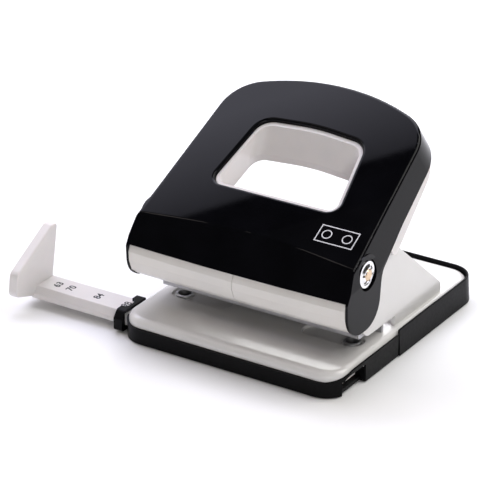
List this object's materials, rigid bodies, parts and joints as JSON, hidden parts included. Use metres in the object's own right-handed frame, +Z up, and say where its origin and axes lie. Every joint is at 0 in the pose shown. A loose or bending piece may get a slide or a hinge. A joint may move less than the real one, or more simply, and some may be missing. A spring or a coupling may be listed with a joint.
{
  "type": "hole punch",
  "caption": "Lever-handled two-hole office punch with a finger opening, sliding paper stop, spring-returned pins and a hinged chip tray.",
  "frame": {"origin": "on the table, under the middle of the base", "axes": "+X along the paper edge to the user's right, +Y from the front edge to the rear, +Z up"},
  "size_m": [0.1565, 0.1196, 0.0916],
  "materials": {
    "black_gloss_shell": "high-gloss black enamel",
    "light_grey_plastic": "satin moulded",
    "light_grey_paint": "glossy powder coat",
    "satin_trim": "satin coat",
    "black_plastic": "satin moulded",
    "bright_steel": "bright nickel plate",
    "brass_axle": "turned",
    "plain_steel": "pressed sheet, zinc plated",
    "tool_steel": "ground",
    "spring_steel": "drawn wire",
    "foot_rubber": "moulded"
  },
  "bodies": {
    "base": {"base_plate": "light_grey_paint", "base_foot": "black_plastic", "front_feet": "foot_rubber", "index_clip": "black_plastic", "detent_spring": "spring_steel", "frame_cheek_left": "light_grey_paint", "frame_cheek_right": "light_grey_paint", "frame_rivets": "plain_steel", "punch_bridge": "plain_steel", "punch_bush_left": "tool_steel", "punch_bush_right": "tool_steel", "die_left": "tool_steel", "die_right": "tool_steel", "pivot_axle": "brass_axle", "axle_clip_left": "bright_steel", "axle_clip_right": "bright_steel", "tray_hinge_pins": "plain_steel", "pin_spring_left": "spring_steel", "pin_spring_right": "spring_steel"},
    "handle": {"handle_shell": "black_gloss_shell", "handle_liner": "light_grey_plastic", "steel_lever": "plain_steel", "cam_lug_left": "plain_steel", "cam_lug_right": "plain_steel", "nose_plate_left": "satin_trim", "nose_plate_right": "satin_trim", "liner_screws": "plain_steel"},
    "punch_left": {"punch_pin_left": "tool_steel", "pin_head_left": "plain_steel"},
    "punch_right": {"punch_pin_right": "tool_steel", "pin_head_right": "plain_steel"},
    "chip_tray": {"chip_tray": "black_plastic", "tray_mat": "foot_rubber"},
    "stop_bar": {"stop_bar": "light_grey_plastic"}
  },
  "joints": [
    {"name": "handle_press", "type": "hinge", "parent": "base", "child": "handle", "pos_m": [0, -0.0336, 0.0464], "axis": [-1, 0, 0], "range_deg": [0, 28], "stiffness_Nm_per_rad": 1.2, "springref_deg": -14.32},
    {"name": "punch_left_slide", "type": "slide", "parent": "base", "child": "punch_left", "axis": [0, 0, -1], "range_m": [0, 0.0056], "deforming": ["pin_spring_left"]},
    {"name": "punch_right_slide", "type": "slide", "parent": "base", "child": "punch_right", "axis": [0, 0, -1], "range_m": [0, 0.0056], "deforming": ["pin_spring_right"]},
    {"name": "chip_tray_hinge", "type": "hinge", "parent": "base", "child": "chip_tray", "pos_m": [0, -0.0305, 0.004], "axis": [-1, 0, 0], "range_deg": [0, 45]},
    {"name": "stop_bar_slide", "type": "slide", "parent": "base", "child": "stop_bar", "axis": [-1, 0, 0], "range_m": [-0.0345, 0.0435]}
  ],
  "couplings": [
    {"joint": "punch_left_slide", "follows": "handle_press", "m_per_rad": 0.011},
    {"joint": "punch_right_slide", "follows": "handle_press", "m_per_rad": 0.011}
  ]
}
